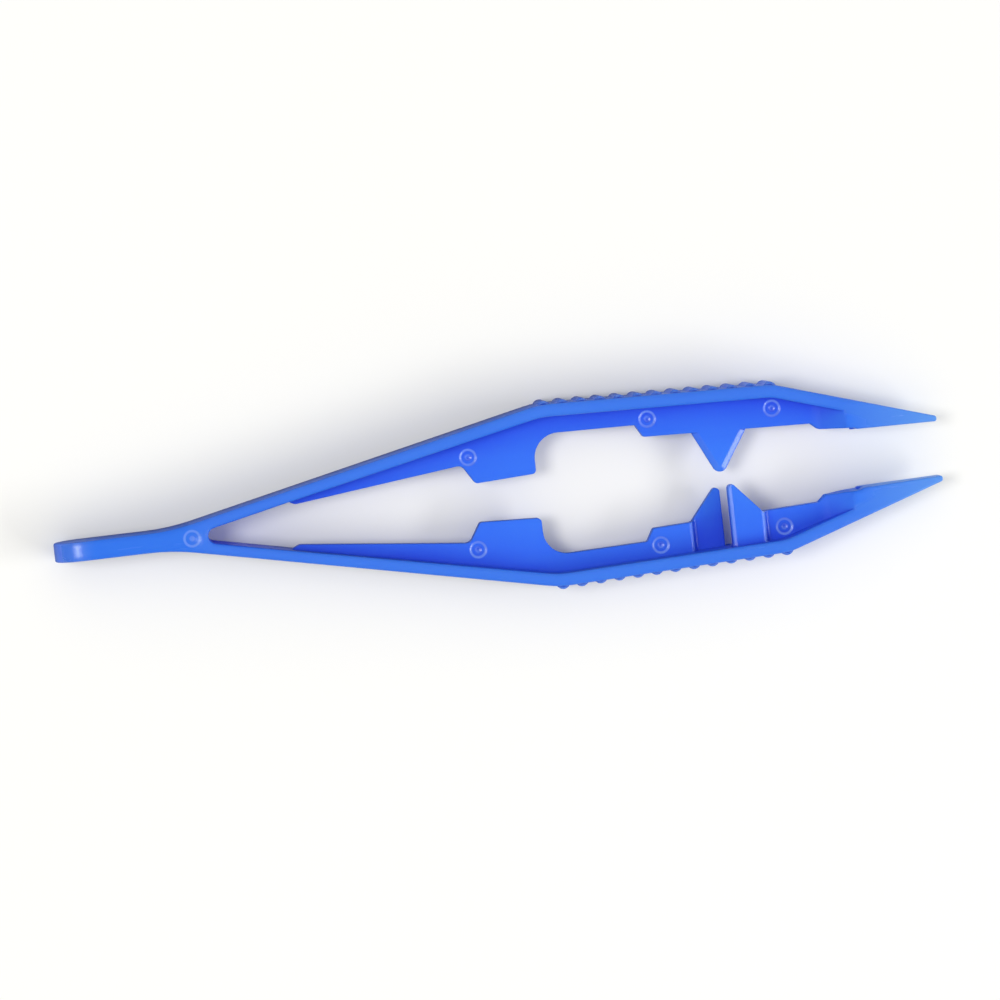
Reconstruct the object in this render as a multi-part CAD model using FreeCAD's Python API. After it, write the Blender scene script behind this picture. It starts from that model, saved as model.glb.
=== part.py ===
import FreeCAD, Part
import math
import os

from FreeCAD import Vector

# Plastic bead tweezers, moulded in one piece, in millimetres.
# The piece is drawn from the handle's end along +X, with the mould's parting plane at Z = 0,
# and it is set down on its lower edges at the end. Plan sizes are for one arm, counted from
# the centre line, and the other arm is its mirror image apart from the tooth and its guide.
# Depths are counted from the arm's outer face towards the centre line.

# Side view
strip_width = 8.5
tip_width = 3.0
taper_blend = 60.0

# Plan of the handle and of the arms' outer faces
handle_length = 16.9
handle_thickness = 2.8
fork_blend = 32.0
arm_run = 55.3
arm_angle = 12.2
grip_run = 34.2
grip_lean = 1.75
nose_run = 24.1
nose_angle = 17.3
rear_bend_round = 14.0
front_bend_round = 8.0
tip_thickness = 0.8

# Walls and edges
arm_thickness = 1.6
grip_thickness = 1.85
web_thickness = 1.8
crotch_round = 1.15
edge_round = 0.3

# Inner edge of each arm: web, lug, recess, front web and pad
web_lead = 17.3
web_ease = 1.2
web_ease_round = 1.2
web_start_depth = 2.45
web_end_depth = 5.03
lug_back_gap = 1.3
lug_length = 9.0
lug_slant = 1.75
lug_start_depth = 8.28
lug_end_depth = 9.8
lug_corner = 0.65
lug_shoulder = 1.2
recess_length = 15.15
recess_depth = 4.33
recess_round = 3.6
step_run = 1.05
step_round = 0.4
front_depth = 6.15
pad_lead = 5.45
pad_run = 6.1
pad_step_run = 1.1
pad_step_depth = 4.8
pad_start_depth = 5.4
pad_end_depth = 4.14
nose_step_depth = 4.26
nose_step_run = 0.4

# Ramp from the web up to the solid nose
ramp_lead = 6.2
ramp_angle = 27.0
ramp_foot_round = 4.0

# Finger ridges on the outer faces
ridge_lead = 0.6
ridge_pitch = 2.77
ridge_height = 0.45
ridge_breadth = 1.7
ridge_inset = 0.65
ridge_bevel = 0.3

# Tooth on the first arm
tooth_from_nose = 8.4
tooth_point_depth = 13.35
tooth_lean = 0.2
tooth_back_base = 3.7
tooth_front_base = 4.4
tooth_round = 1.1
tooth_thickness = 1.4
tooth_edge = 0.6
tooth_bevel = 0.85

# Split guide on the second arm, which the tooth slides into
guide_clearance = 0.3
guide_plate = 1.4
guide_low_length = 4.95
guide_high_length = 5.3
guide_reach = 5.55
guide_slit = 0.75
guide_apex_round = 0.6
guide_step_run = 0.5
guide_step_round = 0.6
guide_wall = 0.5

# Marks that the mould leaves
pin_mark_diameter = 2.6
pin_mark_floor = 2.0
pin_mark_sink = 0.15
pin_dimple_diameter = 1.1
pin_dimple_sink = 0.2
fork_mark_lead = 3.0
lug_mark_lead = 0.7
front_mark_lead = 1.9
rear_mark_depth = 4.2
front_mark_depth = 3.6
gate_length = 0.9
gate_height = 0.2
gate_width = 1.0

# Places along X
fork_x = handle_length
bend_x = fork_x + arm_run
nose_x = bend_x + grip_run
tip_x = nose_x + nose_run
web_x = fork_x + web_lead
lug_end_x = bend_x - lug_back_gap
lug_start_x = lug_end_x - lug_length
recess_end_x = lug_end_x + recess_length
pad_x = nose_x + pad_lead
pad_end_x = pad_x + pad_run
tooth_x = nose_x - tooth_from_nose

half_width = strip_width / 2
half_web = web_thickness / 2
half_handle = handle_thickness / 2
half_tip = tip_width / 2
tooth_low = half_web - tooth_thickness
guide_root = guide_wall + guide_step_run

# How far cutters and roots run past the faces that they meet
beyond = 2.0

# The tip's plan corners, and the most that a rim may be rounded, as shares of the tip's thickness
tip_corner_share = 0.46
rim_share = 0.4
rim_round = min(edge_round, rim_share * tip_thickness)

# Axes and angles that sort faces by the way they point, and the gap that counts as closed
upright = Vector(0, 0, 1)
crosswise = Vector(0, 1, 0)
same_way_angle = 2.0
rim_angle = 10.0
closed = 1e-6


def slope(angle):
    """Rise per millimetre of run."""
    return math.tan(math.radians(angle))


def across(thickness, angle):
    """Size along Y of a wall that leans by an angle."""
    return thickness / math.cos(math.radians(angle))


bend_y = half_handle + arm_run * slope(arm_angle)
nose_y = bend_y - grip_run * slope(grip_lean)
reach_y = bend_y + beyond


def outer_y(x):
    """Distance of the arm's outer face from the centre line, ridges left out."""
    if x <= bend_x:
        return half_handle + (x - fork_x) * slope(arm_angle)
    if x <= nose_x:
        return bend_y - (x - bend_x) * slope(grip_lean)
    return nose_y - (x - nose_x) * slope(nose_angle)


def at_depth(x, depth, radius=0.0):
    """A corner at a depth below the outer face, with the radius that rounds it."""
    return (x, outer_y(x) - depth, radius)


def between(x, first, second):
    """Y at x on the line through two corners."""
    share = (x - first[0]) / (second[0] - first[0])
    return first[1] + share * (second[1] - first[1])


# Corners that more than one sub-part uses: the flange's inner face and the front web's edge
turn_x = nose_x - grip_thickness * slope((nose_angle + grip_lean) / 2)
flange_start = at_depth(web_x, across(arm_thickness, arm_angle))
flange_bend = at_depth(bend_x, across(grip_thickness, grip_lean), rear_bend_round - grip_thickness)
flange_turn = at_depth(turn_x, across(grip_thickness, grip_lean), front_bend_round - grip_thickness)
front_start = at_depth(recess_end_x + step_run, front_depth, step_round)
front_end = at_depth(pad_x, pad_step_depth, step_round)


def rounded_face(corners):
    """Flat face in plan from (x, y, radius) corners, each rounded by an arc of its radius."""
    points = [Vector(x, y, 0) for x, y, _ in corners]
    count = len(points)
    ends = []
    arcs = []
    for i, corner in enumerate(points):
        radius = corners[i][2]
        if radius == 0:
            ends.append((corner, corner))
            arcs.append(None)
            continue
        back = (points[i - 1] - corner).normalize()
        ahead = (points[(i + 1) % count] - corner).normalize()
        half_turn = back.getAngle(ahead) / 2
        reach = radius / math.tan(half_turn)
        inward = (back + ahead).normalize()
        middle = corner + inward * (radius / math.sin(half_turn) - radius)
        ends.append((corner + back * reach, corner + ahead * reach))
        arcs.append(Part.Arc(ends[i][0], middle, ends[i][1]).toShape())
    edges = []
    for i in range(count):
        if arcs[i]:
            edges.append(arcs[i])
        start = ends[i][1]
        end = ends[(i + 1) % count][0]
        if not start.isEqual(end, closed):
            edges.append(Part.LineSegment(start, end).toShape())
    return Part.Face(Part.Wire(edges))


def prism(corners, low, high):
    """Upright solid on a plan outline, from one height to another."""
    face = rounded_face(corners)
    face.translate(Vector(0, 0, low))
    return face.extrude(Vector(0, 0, high - low))


def cross_prism(corners):
    """Solid on a side outline of (x, z, radius) corners, right across the piece."""
    face = rounded_face(corners)
    face.rotate(Vector(0, 0, 0), Vector(1, 0, 0), 90)
    face.translate(Vector(0, reach_y, 0))
    return face.extrude(Vector(0, -2 * reach_y, 0))


def flipped(corners, side):
    """The same corners for the arm on the other side of the centre line."""
    return [(x, side * y, radius) for x, y, radius in corners]


def plan_corners():
    """One side of the plan: outer face from the handle to the tip, inner edge back to the crotch."""
    tip_round = tip_corner_share * tip_thickness
    wedge_x = fork_x + (across(arm_thickness, arm_angle) - half_handle) / slope(arm_angle)
    recess_y = outer_y(lug_end_x + recess_round) - recess_depth
    return [
        (0.0, half_handle, 0.0),
        (fork_x, half_handle, fork_blend),
        (bend_x, bend_y, rear_bend_round),
        (nose_x, nose_y, front_bend_round),
        at_depth(tip_x, 0.0, tip_round),
        at_depth(tip_x, tip_thickness, tip_round),
        at_depth(pad_end_x + nose_step_run, nose_step_depth),
        at_depth(pad_end_x, pad_end_depth),
        at_depth(pad_x + pad_step_run, pad_start_depth, step_round),
        front_end,
        front_start,
        at_depth(recess_end_x, recess_depth, step_round),
        (lug_end_x, recess_y, recess_round),
        at_depth(lug_end_x, lug_end_depth, lug_corner),
        at_depth(lug_start_x, lug_start_depth, lug_corner),
        at_depth(lug_start_x - lug_slant, web_end_depth, lug_shoulder),
        at_depth(web_x + web_ease, web_start_depth, web_ease_round),
        flange_start,
        (wedge_x, 0.0, crotch_round),
    ]


def side_view():
    """Side view of the piece: a full round end, a level strip and a nose that thins to the tip."""
    return cross_prism([
        (0.0, -half_width, half_width),
        (nose_x, -half_width, taper_blend),
        (tip_x, -half_tip, 0.0),
        (tip_x, half_tip, 0.0),
        (nose_x, half_width, taper_blend),
        (0.0, half_width, half_width),
    ])


def pocket(side, face):
    """Cutter that leaves the outer flange and the web of one arm, on its upper or lower face."""
    top = half_width + beyond
    ramp_x = nose_x + ramp_lead
    ramp_top_x = ramp_x + (top - half_web) / slope(ramp_angle)
    outline = [
        (web_x - beyond, 0.0, 0.0),
        flange_start,
        flange_bend,
        flange_turn,
        at_depth(ramp_top_x, across(grip_thickness, nose_angle)),
        (ramp_top_x, 0.0, 0.0),
    ]
    depth = cross_prism([
        (web_x - beyond, face * half_web, 0.0),
        (ramp_x, face * half_web, ramp_foot_round),
        (ramp_top_x, face * top, 0.0),
        (web_x - beyond, face * top, 0.0),
    ])
    return prism(flipped(outline, side), -top, top).common(depth)


def tooth_layer(inset, height):
    """Outline of the tooth at a height, its flanks moved in by the inset."""
    root_y = between(tooth_x, front_start, front_end)
    point = Vector(tooth_x - tooth_lean, outer_y(tooth_x) - tooth_point_depth, 0)
    back = (Vector(tooth_x - tooth_back_base, root_y, 0) - point).normalize()
    front = (Vector(tooth_x + tooth_front_base, root_y, 0) - point).normalize()
    inward = (back + front).normalize()
    point = point + inward * (inset / math.sin(back.getAngle(front) / 2))
    rise = root_y + beyond - point.y
    back_root = point + back * (rise / back.y)
    front_root = point + front * (rise / front.y)
    face = rounded_face([
        (back_root.x, back_root.y, 0.0),
        (point.x, point.y, tooth_round - inset),
        (front_root.x, front_root.y, 0.0),
    ])
    face.translate(Vector(0, 0, height))
    return face


def tooth():
    """Flat tooth with bevelled flanks, level with the web on the upper side."""
    bevel_height = (tooth_thickness - tooth_edge) / 2
    blade_low = tooth_low + bevel_height
    blade_high = half_web - bevel_height
    solid = tooth_layer(0.0, blade_low).extrude(Vector(0, 0, blade_high - blade_low))
    for blade, face in ((blade_low, tooth_low), (blade_high, half_web)):
        wires = [tooth_layer(0.0, blade).OuterWire, tooth_layer(tooth_bevel, face).OuterWire]
        solid = solid.fuse(Part.makeLoft(wires, True, True))
    return solid


def guide_half(way):
    """One plate of the guide, offset past the tooth's face, with the step that joins it to the web.

    way is -1 for the low plate towards the handle and +1 for the high plate towards the tip."""
    tooth_face, length = (tooth_low, guide_low_length) if way < 0 else (half_web, guide_high_length)
    near = tooth_face + way * guide_clearance
    far = near + way * guide_plate
    slit_x = tooth_x + way * guide_slit / 2
    flank_x = tooth_x + way * length
    wall_x = flank_x + way * guide_wall
    root_x = flank_x + way * guide_root
    section = cross_prism([
        (root_x, way * half_web, 0.0),
        (root_x, -way * half_web, 0.0),
        (flank_x + way * guide_step_run / 2, -way * half_web, guide_step_round),
        (flank_x - way * guide_step_run / 2, near, guide_step_round),
        (slit_x, near, 0.0),
        (slit_x, far, 0.0),
        (wall_x - way * guide_step_run, far, guide_step_round),
        (wall_x, way * half_web, guide_step_round),
    ])
    flank_y = between(flank_x, front_start, front_end)
    inside_flange_y = outer_y(flank_x) - grip_thickness / 2
    outline = [
        (root_x, inside_flange_y, 0.0),
        (slit_x, inside_flange_y, 0.0),
        (slit_x, flank_y - guide_reach, guide_apex_round),
        (flank_x, flank_y, 0.0),
        (root_x, between(root_x, front_start, front_end), 0.0),
    ]
    return prism(flipped(outline, -1), -half_width, half_width).common(section)


def guide_window():
    """Cutter that opens the second arm's web where the guide stands."""
    back_x = tooth_x - guide_low_length - guide_root
    front_x = tooth_x + guide_high_length + guide_root
    outline = [
        (back_x, 0.0, 0.0),
        (back_x, between(back_x, flange_bend, flange_turn), 0.0),
        (front_x, between(front_x, flange_bend, flange_turn), 0.0),
        (front_x, 0.0, 0.0),
    ]
    return prism(flipped(outline, -1), -half_web, half_web)


def ridge(x, side):
    """One rounded finger ridge, its axis upright and its ends bevelled."""
    half_breadth = ridge_breadth / 2
    radius = (half_breadth ** 2 + ridge_height ** 2) / (2 * ridge_height)
    half_span = half_width - ridge_inset
    centre = Vector(x, side * (outer_y(x) + ridge_height - radius), -half_span)
    bar = Part.makeCylinder(radius, 2 * half_span, centre)
    rings = [edge for edge in bar.Edges if edge.Closed]
    return bar.makeChamfer(ridge_bevel, rings)


def pin_mark(x, y, level):
    """Cutter for the shallow round mark of an ejector pin on an upper face, with its centre dimple."""
    bottom = level - pin_mark_sink
    mark = Part.makeCone(pin_mark_floor / 2, pin_mark_diameter / 2, pin_mark_sink, Vector(x, y, bottom))
    dimple = Part.makeCone(0.0, pin_dimple_diameter / 2, pin_dimple_sink, Vector(x, y, bottom - pin_dimple_sink))
    return mark.fuse(dimple)


def pin_marks():
    """Cutters for all ejector marks: one at the fork and three on each arm."""
    marks = [pin_mark(fork_x + fork_mark_lead, 0.0, half_width)]
    places = [
        (lug_start_x - lug_mark_lead, rear_mark_depth),
        (recess_end_x + front_mark_lead, front_mark_depth),
        (nose_x, front_mark_depth),
    ]
    for x, depth in places:
        for side in (1, -1):
            marks.append(pin_mark(x, side * (outer_y(x) - depth), half_web))
    return marks


def gate(side):
    """Short stub left where the gate was trimmed from the inner edge."""
    centre_x = pad_end_x + nose_step_run / 2
    edge_y = outer_y(centre_x) - (pad_end_depth + nose_step_depth) / 2
    stub = Part.makeBox(gate_length, 2 * gate_height, gate_width)
    stub.translate(Vector(centre_x - gate_length / 2, side * edge_y - gate_height, -gate_width / 2))
    return stub


def turned_off(face, axis):
    """Angle between the axis of a face, or the normal of a flat one, and another axis."""
    return math.degrees(math.acos(min(1.0, abs(face.Surface.Axis.dot(axis)))))


def is_wall(face):
    """True for the upright faces, flat or rounded, of the plan outline and of the pockets."""
    if isinstance(face.Surface, Part.Cylinder):
        return turned_off(face, upright) < same_way_angle
    return turned_off(face, upright) > 90 - same_way_angle


def is_rim(face):
    """True for the strip's upper and lower faces, the nose's sloping ones and the round end."""
    if isinstance(face.Surface, Part.Cylinder):
        return turned_off(face, crosswise) < same_way_angle and face.Surface.Radius > half_width - closed
    box = face.BoundBox
    off_web = box.ZMin > half_web + closed or box.ZMax < -half_web - closed
    return off_web and turned_off(face, upright) < rim_angle


def rim_edges(solid):
    """Edges where a rim face meets a wall."""
    found = []
    for edge in solid.Edges:
        faces = solid.ancestorsOfType(edge, Part.Face)
        if any(is_wall(face) for face in faces) and any(is_rim(face) for face in faces):
            found.append(edge)
    return found


def tweezers():
    """The whole piece, set down on its lower edges with the origin under its middle."""
    one_side = plan_corners()
    outline = one_side + flipped(reversed(one_side[:-1]), -1)
    body = prism(outline, -half_width, half_width).common(side_view())
    for side in (1, -1):
        for face in (1, -1):
            body = body.cut(pocket(side, face))
    body = body.removeSplitter()
    body = body.makeFillet(rim_round, rim_edges(body))
    body = body.cut(guide_window())
    additions = [tooth(), guide_half(-1), guide_half(1)]
    ridge_count = 1 + int((grip_run - ridge_lead) / ridge_pitch)
    for side in (1, -1):
        additions.append(gate(side))
        for i in range(ridge_count):
            additions.append(ridge(bend_x + ridge_lead + i * ridge_pitch, side))
    body = body.fuse(additions).removeSplitter()
    body = body.cut(pin_marks())
    body.translate(Vector(-tip_x / 2, 0, half_width))
    return body.Solids[0]


os.makedirs("parts", exist_ok=True)
tweezers().exportStep("parts/tweezers.step")
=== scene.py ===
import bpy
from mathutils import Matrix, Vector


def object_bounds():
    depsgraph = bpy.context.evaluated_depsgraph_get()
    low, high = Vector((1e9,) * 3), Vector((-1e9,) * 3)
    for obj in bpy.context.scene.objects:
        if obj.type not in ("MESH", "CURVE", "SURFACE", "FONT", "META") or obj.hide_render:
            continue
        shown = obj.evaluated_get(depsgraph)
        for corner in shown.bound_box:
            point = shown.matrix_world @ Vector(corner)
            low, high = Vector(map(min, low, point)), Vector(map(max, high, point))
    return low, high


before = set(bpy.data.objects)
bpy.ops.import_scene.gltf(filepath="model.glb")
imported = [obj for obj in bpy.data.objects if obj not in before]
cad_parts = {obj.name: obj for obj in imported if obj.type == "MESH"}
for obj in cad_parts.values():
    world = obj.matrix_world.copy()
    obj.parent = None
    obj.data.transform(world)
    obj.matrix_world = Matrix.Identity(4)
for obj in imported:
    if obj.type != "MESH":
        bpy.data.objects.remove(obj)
cad_box = [list(corner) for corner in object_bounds()]

import math
from types import SimpleNamespace

import bpy
from mathutils import Matrix, Vector

# Blue bead tweezers lying on a pale bench, seen from above. Lengths are in metres, in the
# part's own frame: +X from the handle to the tips, +Z up, the origin under the middle.

MM = 0.001

# Where the photograph's camera stands over the tweezers, and how they lie in the picture
camera_offset_x = -65.25 * MM
camera_offset_y = 47 * MM
camera_height = 699 * MM
picture_turn = math.radians(6.45)
picture_width = 146 * MM
sensor_width = 36.0
nearest_seen = 0.01

# Colours, as linear values: the rims and the nose, the open web, painted shade in the corners,
# painted shade on the upright faces at the top and at the foot, painted glow at the thin tips, pale
# flow streaks that also give the painted glow at the thin points, and painted highlights on the
# marks and crests
rim_blue = (0.028, 0.175, 0.79, 1.0)
web_blue = (0.040, 0.175, 0.86, 1.0)
painted_corner_shade_blue = (0.026, 0.075, 0.74, 1.0)
painted_side_shade_blue = (0.018, 0.095, 0.52, 1.0)
painted_foot_shadow_blue = (0.020, 0.035, 0.16, 1.0)
painted_glow_blue = (0.11, 0.33, 0.80, 1.0)
streak_and_glow_blue = (0.060, 0.26, 0.92, 1.0)
painted_highlight_blue = (0.28, 0.46, 0.94, 1.0)
floor_pale = (0.925, 0.920, 0.888, 1.0)
floor_mottle = 1.015
backdrop_white = (1.0, 1.0, 1.0, 1.0)

# Places along X, from the handle's end to the tips, with the widths of the blends at two of them
handle_end = -65.25 * MM
end_shine_from = handle_end + 4.0 * MM
end_shine_to = handle_end + 6.0 * MM
fork_start = -47.0 * MM
fork_blend = 4.0 * MM
side_fade_start = 15.0 * MM
tooth_place = 32.75 * MM
slit_edge = 33.15 * MM
slit_edge_round = 0.60 * MM
ramp_start = 47.2 * MM
ramp_lead_range = (ramp_start - 2.0 * MM, ramp_start - 1.0 * MM)
nose_start = 51.4 * MM
nose_middle = 56.0 * MM
tip_end = 65.25 * MM

# Heights: the parting plane, how far the web, the tooth and the guide reach from it, how far the
# guide's plates lie from it, and up to where the painted shade on upright faces deepens towards the
# foot
parting_height = 4.25 * MM
web_reach = 2.75 * MM
plate_reach = 2.2 * MM
foot_fade = 6.0 * MM

# Heights from which the ejector marks and the crests of the guide's steps count as upper ones, which
# take the painted highlights
mark_height_range = (parting_height + 0.6 * MM, parting_height + 0.7 * MM)
crest_height_range = (parting_height + 0.2 * MM, parting_height + 0.8 * MM)

# The inner face of the flange on the nose: its distance off the centre line at X = 0, and its slope
flange_line = 23.19 * MM
flange_slope = 0.3115
flange_blend = 0.6 * MM

# The guide lies on the side of negative Y, within these places. Its two steps have a crest each,
# given as the place along X and half the width, in mm
guide_tip = -4.0 * MM
guide_blend = 0.5 * MM
guide_root = -10.5 * MM
guide_root_blend = 0.3 * MM
plate_side = -0.8 * MM
step_crests = ((27.62, 0.20), (38.15, 0.32))

# Ejector marks on the upper side of both arms: places along X and off the centre line, in mm
pin_marks = ((-45.35, 0.0), (-4.05, 6.78), (22.7, 9.28), (41.15, 8.71))
pin_ring = 1.10 * MM
pin_ring_half = 0.25 * MM
pin_dot = 0.50 * MM

# Width over which one finish gives way to the next
finish_edge = 0.2 * MM

# Radius that softens the edges of the rims, and the finer one of the web
rim_soft = 1.10 * MM
web_soft = 0.35 * MM

# Relief of the surface: mould waves, satin grain, parting seam and the eased slit edge
wave_depth = 0.08 * MM
wave_strength = 0.5
grain_depth = 0.006 * MM
grain_strength = 0.6
seam_rise = 0.03 * MM
seam_inner = 0.02 * MM
seam_outer = 0.07 * MM
slit_drop = 0.24 * MM

# How far off a wall still shelters a corner for the painted shade, and the openness that counts as
# fully shaded
shelter_reach = 7.0 * MM
shelter_dark = 0.45

# Size of the surface normal's upward part on tilted faces and on flat ones, and of its part
# along X on the ramp, each from where the mask starts to where it ends
tilted = (0.15, 0.75)
level = (0.975, 0.995)
ramped = (-0.10, -0.03)

# Places where painted light changes the colour: faces sunk below the parting plane, with their
# painted shade towards the flange, the points of the tooth and the guide with painted glow, and the
# walls of the noses that face each other, also with painted glow
sunk_range = (-0.7 * MM, -0.4 * MM)
flange_shade_range = (5.5 * MM, 10.0 * MM)
point_length_range = (6.0 * MM, 7.0 * MM)
point_width_range = (1.0 * MM, 5.5 * MM)
facing_walls_range = (-2.0 * MM, -1.0 * MM)

# How strongly each of them, the flow streaks, and the painted highlights on the marks and crests
# take on their colour
flange_shade = 0.85
point_glow = 0.45
tip_glow = 0.8
wall_glow = 0.9
flow_strength = 0.10
flow_range = (0.45, 0.75)
dye_swing = 0.08
pin_highlight = 0.4
pin_dot_highlight = 0.7
crest_highlight = 0.6

# Middle stretch of a noise value, which a pattern spreads over its whole range
noise_low = 0.3
noise_high = 0.7

# Strength of the gloss, and how much of it is left or added on upright faces, on the ones with
# painted shade, on the flat handle and at its round end. The last two are set to match the
# picture.
polished_sheen = 0.55
matt_sheen = 0.10
upright_sheen = 0.35
side_sheen = 0.25
handle_sheen = 0.4
end_sheen = 1.6

# Roughness of the polished plastic, what each finish adds to it, and how light spreads inside
polish_smooth = 0.16
polish_rough = 0.22
scuff_range = (0.56, 0.68)
matt_rough = 0.22
upright_rough = 0.25
scuff_rough = 0.08
end_rough = 0.04
plastic_ior = 1.49
light_depth = 1.0 * MM
light_depth_by_colour = (0.3, 0.6, 1.0)
light_share = 0.35

# Lights: a small softbox on the left that the round handle end mirrors, a strip low on the right
# that the bevels mirror, and a wide pale surround that is brighter overhead
zenith_strength = 0.68
horizon_strength = 0.40
left_box = {
    "lean": -28, "turn": -10, "distance": 1.1, "width": 0.36, "length": 0.34, "radiance": 10.5}
right_strip = {
    "lean": 56, "turn": -22, "distance": 1.2, "width": 0.28, "length": 0.90, "radiance": 7.8}

# Bench top: half its width, its roughness and its gloss
floor_half = 1.6
floor_rough = 0.75
floor_sheen = 0.25


def new_tree(material):
    """Empties the node tree of a material, or of the world, and returns it."""
    material.use_nodes = True
    material.node_tree.nodes.clear()
    return material.node_tree


def fill(tree, socket, value):
    """Links a socket to another node's output, or sets its value."""
    if isinstance(value, bpy.types.NodeSocket):
        tree.links.new(value, socket)
    else:
        socket.default_value = value


def add(tree, kind, inputs=None, **settings):
    """Adds a node, sets its options, and fills its sockets with values or links."""
    node = tree.nodes.new(kind)
    for name, value in settings.items():
        setattr(node, name, value)
    for name, value in (inputs or {}).items():
        fill(tree, node.inputs[name], value)
    return node


def noise(tree, place, scale, detail=2.0, roughness=0.5, stretch=(1, 1, 1)):
    """Noise in the part's own coordinates, with its grain stretched along the axes."""
    moved = add(tree, "ShaderNodeMapping", {"Vector": place, "Scale": stretch})
    grain = add(tree, "ShaderNodeTexNoise", {
        "Vector": moved.outputs["Vector"],
        "Scale": scale,
        "Detail": detail,
        "Roughness": roughness,
    })
    return grain.outputs["Fac"]


def spread(tree, value, low, high, from_low=0.0, from_high=1.0):
    """Maps a value from one range to another, held at the ends."""
    node = add(tree, "ShaderNodeMapRange", {
        "Value": value,
        "From Min": from_low,
        "From Max": from_high,
        "To Min": low,
        "To Max": high,
    }, clamp=True)
    return node.outputs["Result"]


def rising(tree, value, start, end, top=1.0):
    """Nothing up to the start, and the top value past the end."""
    return spread(tree, value, 0.0, top, start, end)


def falling(tree, value, start, end, top=1.0):
    """The top value up to the start, and nothing past the end."""
    return spread(tree, value, top, 0.0, start, end)


def math_node(tree, operation, first, second=0.0):
    """One arithmetic step."""
    node = tree.nodes.new("ShaderNodeMath")
    node.operation = operation
    for socket, value in zip(node.inputs, (first, second)):
        fill(tree, socket, value)
    return node.outputs["Value"]


def blend_colour(tree, share, first, second):
    """Mix of two colours by a share."""
    node = tree.nodes.new("ShaderNodeMix")
    node.data_type = "RGBA"
    colours = [s for s in node.inputs if s.type == "RGBA"]
    sockets = (node.inputs[0], colours[0], colours[1])
    for socket, value in zip(sockets, (share, first, second)):
        fill(tree, socket, value)
    return [s for s in node.outputs if s.type == "RGBA"][0]


def fold(tree, operation, values):
    """One arithmetic step after another over several values."""
    result = values[0]
    for value in values[1:]:
        result = math_node(tree, operation, result, value)
    return result


def times(tree, *values):
    """Product of several values."""
    return fold(tree, "MULTIPLY", values)


def largest(tree, *values):
    """Largest of several values."""
    return fold(tree, "MAXIMUM", values)


def distance_from(tree, value, place):
    """How far a coordinate is from a place, on either side."""
    return math_node(tree, "ABSOLUTE", math_node(tree, "SUBTRACT", value, place))


def read_surface(tree):
    """Where a point of the surface lies on the tweezers, and which way it looks."""
    place = add(tree, "ShaderNodeTexCoord").outputs["Object"]
    parts = add(tree, "ShaderNodeSeparateXYZ", {"Vector": place})
    geometry = add(tree, "ShaderNodeNewGeometry")
    facing = add(tree, "ShaderNodeSeparateXYZ", {"Vector": geometry.outputs["Normal"]})
    height = parts.outputs["Z"]
    upward = math_node(tree, "ABSOLUTE", facing.outputs["Z"])
    open_up = rising(tree, upward, *tilted)
    return SimpleNamespace(
        place=place,
        facing=facing,
        along=parts.outputs["X"],
        sideways=parts.outputs["Y"],
        height=height,
        off_centre=math_node(tree, "ABSOLUTE", parts.outputs["Y"]),
        off_parting=distance_from(tree, height, parting_height),
        flat=rising(tree, upward, *level),
        open_up=open_up,
        upright=falling(tree, open_up, 0.0, 1.0),
    )


def read_patterns(tree, place):
    """Noise patterns of the plastic: dye clouds, flow streaks, mould waves, grain and scuffs."""
    return SimpleNamespace(
        clouds=noise(tree, place, scale=55.0, detail=3.0),
        streaks=noise(tree, place, scale=260.0, detail=2.0, stretch=(0.12, 1.0, 0.6)),
        waves=noise(tree, place, scale=110.0, detail=1.0, stretch=(0.6, 1.0, 1.0)),
        grain=noise(tree, place, scale=3200.0, detail=2.0, roughness=0.6),
        scuffs=noise(tree, place, scale=900.0, detail=4.0, roughness=0.65,
                     stretch=(0.10, 1.0, 1.0)),
    )


def find_finishes(tree, at):
    """Masks of the finishes: the web's flats and the ramp are matt, and the rest is polished."""
    low = falling(tree, at.off_parting, web_reach, web_reach + finish_edge)
    before_nose = falling(tree, at.along, nose_start, nose_start + finish_edge)
    in_web = times(tree, low, before_nose)
    on_ramp = times(
        tree, before_nose,
        falling(tree, at.facing.outputs["X"], *ramped),
        rising(tree, at.along, *ramp_lead_range))

    # The nose inside the flange's line goes on with the web's look and loses it by its middle
    flange_here = math_node(tree, "SUBTRACT", flange_line, times(tree, at.along, flange_slope))
    inside = math_node(tree, "SUBTRACT", flange_here, at.off_centre)
    on_nose = times(
        tree, rising(tree, inside, 0.0, flange_blend), at.open_up,
        rising(tree, at.along, nose_start - finish_edge, nose_start))

    # The guide's plates are matt but for the high one's eased slit edge and the low one's under face
    on_plate = times(
        tree, in_web, at.flat,
        falling(tree, at.sideways, plate_side - finish_edge, plate_side),
        rising(tree, at.off_parting, plate_reach, plate_reach + finish_edge))
    over_edge = rising(tree, at.along, slit_edge, slit_edge + slit_edge_round)
    plate_polish = times(tree, on_plate, falling(tree, over_edge, 0.9, 1.0))
    web_matt = times(tree, in_web, at.flat, falling(tree, plate_polish, 0.0, 1.0))
    nose_matt = times(tree, on_nose, falling(tree, at.along, nose_start, nose_middle))
    behind = largest(tree, in_web, on_ramp, on_nose)
    return SimpleNamespace(
        low=low,
        in_web=in_web,
        matt=largest(tree, web_matt, on_ramp, nose_matt),
        web_look=times(tree, behind, falling(tree, at.along, ramp_start, nose_middle)),
        end_on=falling(tree, at.along, end_shine_from, end_shine_to),
        on_handle=times(
            tree, rising(tree, at.along, end_shine_from, end_shine_to),
            falling(tree, at.along, fork_start, fork_start + fork_blend)),
        eased_edge=times(tree, on_plate, over_edge),
    )


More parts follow.
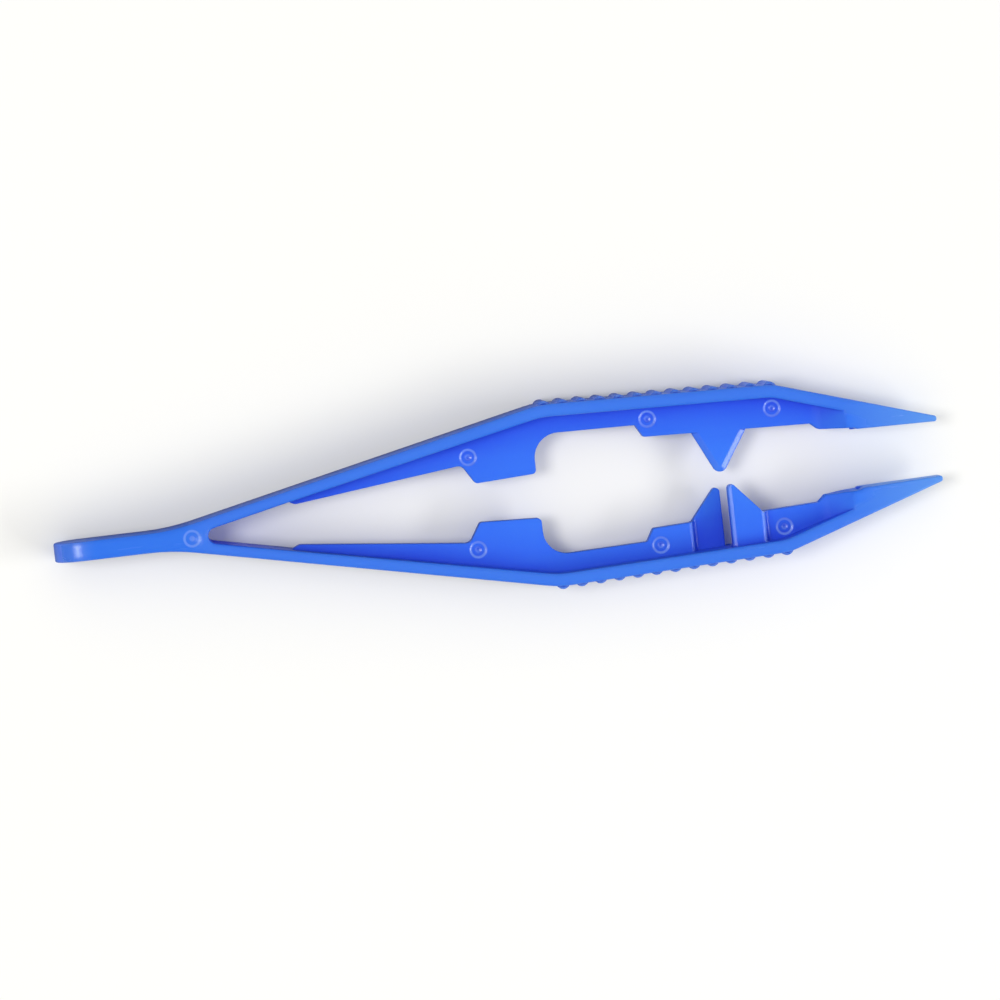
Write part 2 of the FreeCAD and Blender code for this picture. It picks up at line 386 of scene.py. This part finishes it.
def painted_pin_highlights(tree, at):
    """Painted highlight ring and dot at each ejector mark, on the upper side only."""
    painted_highlights = 0.0
    for x, y in pin_marks:
        step_x = math_node(tree, "SUBTRACT", at.along, x * MM)
        step_y = math_node(tree, "SUBTRACT", at.off_centre, y * MM)
        squares = math_node(tree, "ADD", times(tree, step_x, step_x), times(tree, step_y, step_y))
        reach = math_node(tree, "SQRT", squares)
        off_ring = distance_from(tree, reach, pin_ring)
        ring = falling(tree, off_ring, 0.3 * pin_ring_half, pin_ring_half)
        dot = falling(tree, reach, 0.5 * pin_dot, pin_dot, top=pin_dot_highlight)
        painted_highlights = math_node(tree, "ADD", painted_highlights, math_node(tree, "MAXIMUM", ring, dot))
    above = rising(tree, at.height, *mark_height_range)
    return times(tree, painted_highlights, above, at.open_up, pin_highlight)


def painted_crest_highlights(tree, at):
    """Painted highlight on the crests of the guide's two steps, on the upper side only."""
    paler = 0.0
    for x, half in step_crests:
        off_crest = distance_from(tree, at.along, x * MM)
        crest = falling(tree, off_crest, 0.4 * half * MM, half * MM, top=crest_highlight)
        paler = math_node(tree, "MAXIMUM", paler, crest)
    top_of_web = parting_height + web_reach
    return times(
        tree, paler,
        falling(tree, at.sideways, guide_tip - guide_blend, guide_tip),
        rising(tree, at.sideways, guide_root - guide_root_blend, guide_root),
        rising(tree, at.height, *crest_height_range),
        falling(tree, at.height, top_of_web, top_of_web + 0.1 * MM))


def find_painted_side_shade(tree, at, openness_for_painted_shade):
    """How much painted shade the upright faces take, fading towards the thin nose."""
    return times(tree, openness_for_painted_shade, at.upright, falling(tree, at.along, side_fade_start, nose_middle))


def colour_with_painted_light(tree, at, finish, patterns, openness_for_painted_shade, side):
    """Blue of the plastic, with painted shade in corners and on upright faces, painted glow at thin
    parts, painted highlights on marks and crests, and pale streaks.
    """
    # Painted shade: webs and rims darken towards the sheltered corners under the flange
    dye = spread(tree, patterns.clouds, -dye_swing, dye_swing, noise_low, noise_high)
    mottled = math_node(tree, "ADD", openness_for_painted_shade, dye)
    inner = blend_colour(tree, mottled, painted_corner_shade_blue, web_blue)
    outer = blend_colour(tree, openness_for_painted_shade, painted_corner_shade_blue, rim_blue)
    colour = blend_colour(tree, finish.web_look, outer, inner)

    # Painted shade: faces sunk below the parting plane darken towards the flange
    above_parting = math_node(tree, "SUBTRACT", at.height, parting_height)
    outward_rise = times(tree, above_parting, at.facing.outputs["Z"])
    sunk = falling(tree, outward_rise, *sunk_range)
    to_flange = rising(tree, at.off_centre, *flange_shade_range, top=flange_shade)
    colour = blend_colour(tree, times(tree, sunk, finish.in_web, to_flange), colour, painted_corner_shade_blue)

    # Painted glow at the thin points of the tooth and the guide, where light comes through
    off_tooth = distance_from(tree, at.along, tooth_place)
    point = times(
        tree, falling(tree, off_tooth, *point_length_range),
        falling(tree, at.off_centre, *point_width_range, top=point_glow))
    colour = blend_colour(tree, point, colour, streak_and_glow_blue)

    # Painted shade on upright faces, darkest at the foot as a painted contact shadow
    painted_side_colour = blend_colour(tree, rising(tree, at.height, 0.0, foot_fade), painted_foot_shadow_blue, painted_side_shade_blue)
    colour = blend_colour(tree, side, colour, painted_side_colour)

    # Painted glow: the thin tips are paler, and so are the walls of the noses that face each other
    outward = times(tree, at.sideways, at.facing.outputs["Y"])
    inner_wall = times(tree, at.upright, falling(tree, outward, *facing_walls_range))
    thin = largest(
        tree, rising(tree, at.along, nose_start, tip_end, top=tip_glow),
        times(tree, inner_wall, rising(tree, at.along, nose_start, nose_middle, top=wall_glow)))
    colour = blend_colour(tree, thin, colour, painted_glow_blue)

    flow = rising(tree, patterns.streaks, *flow_range, top=flow_strength)
    colour = blend_colour(tree, flow, colour, streak_and_glow_blue)
    # Painted highlights on the ejector marks and on the guide's crests
    painted_highlights = largest(tree, painted_pin_highlights(tree, at), painted_crest_highlights(tree, at))
    return blend_colour(tree, painted_highlights, colour, painted_highlight_blue)


def surface_roughness(tree, at, finish, patterns):
    """Roughness of the plastic: polished, and rougher where matt, upright, scuffed or worn."""
    roughness = spread(
        tree, patterns.clouds, polish_smooth, polish_rough, noise_low, noise_high)
    rougher_places = (
        (rising(tree, patterns.scuffs, *scuff_range), scuff_rough),
        (finish.end_on, end_rough),
        (at.upright, upright_rough),
        (finish.matt, matt_rough),
    )
    for where, rougher in rougher_places:
        roughness = math_node(tree, "ADD", roughness, times(tree, where, rougher))
    return roughness


def surface_sheen(tree, at, finish, side):
    """Strength of the gloss: less where matt, upright or on the flat handle, more at its end."""
    return times(
        tree,
        spread(tree, finish.matt, polished_sheen, matt_sheen),
        spread(tree, at.upright, 1.0, upright_sheen),
        spread(tree, side, 1.0, side_sheen),
        spread(tree, finish.on_handle, 1.0, handle_sheen),
        spread(tree, finish.end_on, 1.0, end_sheen))


def surface_relief(tree, at, finish, patterns):
    """Normal of the surface: softened edges, waves, grain, the parting seam and the slit edge."""
    softness = spread(tree, finish.low, rim_soft, web_soft)
    normal = add(tree, "ShaderNodeBevel", {"Radius": softness}, samples=6).outputs["Normal"]
    seam = falling(tree, at.off_parting, seam_inner, seam_outer)
    layers = (
        (patterns.waves, wave_depth, wave_strength),
        (patterns.grain, grain_depth, grain_strength),
        (seam, seam_rise, 1.0),
        (finish.eased_edge, slit_drop, 1.0),
    )
    for relief, depth, strength in layers:
        normal = add(tree, "ShaderNodeBump", {
            "Height": relief,
            "Distance": depth,
            "Strength": strength,
            "Normal": normal,
        }).outputs["Normal"]
    return normal


def moulded_plastic():
    """Dyed plastic as it leaves the mould: polished rims, matt webs, flow streaks and scuffs, with
    painted shade, glow and highlights in its colour.
    """
    material = bpy.data.materials.new("moulded_blue_plastic")
    tree = new_tree(material)
    at = read_surface(tree)
    patterns = read_patterns(tree, at.place)
    finish = find_finishes(tree, at)
    # Openness from occlusion, which paints shade into corners and onto upright faces
    shelter = add(tree, "ShaderNodeAmbientOcclusion", {"Distance": shelter_reach},
                  samples=8, only_local=True)
    openness_for_painted_shade = rising(tree, shelter.outputs["AO"], shelter_dark, 1.0)
    # Painted shade on the upright faces
    side = find_painted_side_shade(tree, at, openness_for_painted_shade)

    shader = add(tree, "ShaderNodeBsdfPrincipled", {
        "Base Color": colour_with_painted_light(tree, at, finish, patterns, openness_for_painted_shade, side),
        "Roughness": surface_roughness(tree, at, finish, patterns),
        "Normal": surface_relief(tree, at, finish, patterns),
        "IOR": plastic_ior,
        "Specular IOR Level": surface_sheen(tree, at, finish, side),
        "Subsurface Weight": light_share,
        "Subsurface Radius": light_depth_by_colour,
        "Subsurface Scale": light_depth,
    })
    end = add(tree, "ShaderNodeOutputMaterial")
    tree.links.new(shader.outputs["BSDF"], end.inputs["Surface"])
    return material


def pale_floor():
    """Smooth pale bench top with a faint mottle."""
    material = bpy.data.materials.new("pale_floor")
    tree = new_tree(material)
    place = add(tree, "ShaderNodeTexCoord").outputs["Object"]
    mottle = rising(tree, noise(tree, place, scale=9.0), noise_low, noise_high)
    paler = tuple(min(1.0, floor_mottle * part) for part in floor_pale[:3]) + (1.0,)
    shader = add(tree, "ShaderNodeBsdfPrincipled", {
        "Base Color": blend_colour(tree, mottle, floor_pale, paler),
        "Roughness": floor_rough,
        "Specular IOR Level": floor_sheen,
    })
    end = add(tree, "ShaderNodeOutputMaterial")
    tree.links.new(shader.outputs["BSDF"], end.inputs["Surface"])
    return material


def build_floor():
    """A wide flat bench top under the tweezers."""
    mesh = bpy.data.meshes.new("bench_top")
    corners = [(-floor_half, -floor_half, 0), (floor_half, -floor_half, 0),
               (floor_half, floor_half, 0), (-floor_half, floor_half, 0)]
    mesh.from_pydata(corners, [], [(0, 1, 2, 3)])
    floor = bpy.data.objects.new("bench_top", mesh)
    floor.data.materials.append(pale_floor())
    bpy.context.scene.collection.objects.link(floor)


def build_world():
    """Pale surround, stronger overhead, and white where the camera sees it."""
    world = bpy.data.worlds.new("surround")
    bpy.context.scene.world = world
    tree = new_tree(world)
    ray = add(tree, "ShaderNodeLightPath")
    way = add(tree, "ShaderNodeTexCoord").outputs["Generated"]
    rise = add(tree, "ShaderNodeSeparateXYZ", {"Vector": way}).outputs["Z"]
    sky = spread(tree, rise, horizon_strength, zenith_strength)
    strength = math_node(tree, "MAXIMUM", sky, ray.outputs["Is Camera Ray"])
    light = add(tree, "ShaderNodeBackground", {"Color": backdrop_white, "Strength": strength})
    end = add(tree, "ShaderNodeOutputWorld")
    tree.links.new(light.outputs["Background"], end.inputs["Surface"])


def softbox(name, lean, turn, distance, width, length, radiance):
    """Soft lamp that leans from overhead along X, then turns about Z. Its length lies along Y."""
    lamp = bpy.data.lights.new(name, "AREA")
    lamp.shape = "RECTANGLE"
    lamp.size = width
    lamp.size_y = length
    lamp.energy = radiance * math.pi * width * length
    holder = bpy.data.objects.new(name, lamp)
    turned = Matrix.Rotation(math.radians(turn), 4, "Z")
    leaned = Matrix.Rotation(math.radians(lean), 4, "Y")
    holder.matrix_world = turned @ leaned @ Matrix.Translation((0, 0, distance))
    bpy.context.scene.collection.objects.link(holder)


def build_camera():
    """Camera at the photograph's viewing angle, brought closer to the tweezers by its lens."""
    low, high = (Vector(corner) for corner in cad_box)
    target = (low + high) / 2
    place = Vector((camera_offset_x, camera_offset_y, camera_height))
    back = (place - target).normalized()
    upward = Vector((math.sin(picture_turn), math.cos(picture_turn), 0))
    across = upward.cross(back).normalized()
    above = back.cross(across)
    camera = bpy.data.cameras.new("camera")
    camera.sensor_width = sensor_width
    camera.lens = sensor_width * (place - target).length / picture_width
    camera.clip_start = nearest_seen
    holder = bpy.data.objects.new("camera", camera)
    turned = Matrix((across, above, back)).transposed().to_4x4()
    holder.matrix_world = Matrix.Translation(place) @ turned
    bpy.context.scene.collection.objects.link(holder)
    bpy.context.scene.camera = holder


def dress_tweezers():
    """Gives the moulded piece its plastic."""
    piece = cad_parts["tweezers"]
    plastic = moulded_plastic()
    for slot in piece.material_slots:
        slot.material = plastic


build_floor()
build_world()
softbox("left_box", **left_box)
softbox("right_strip", **right_strip)
build_camera()
dress_tweezers()
bpy.context.scene.view_settings.view_transform = "Standard"
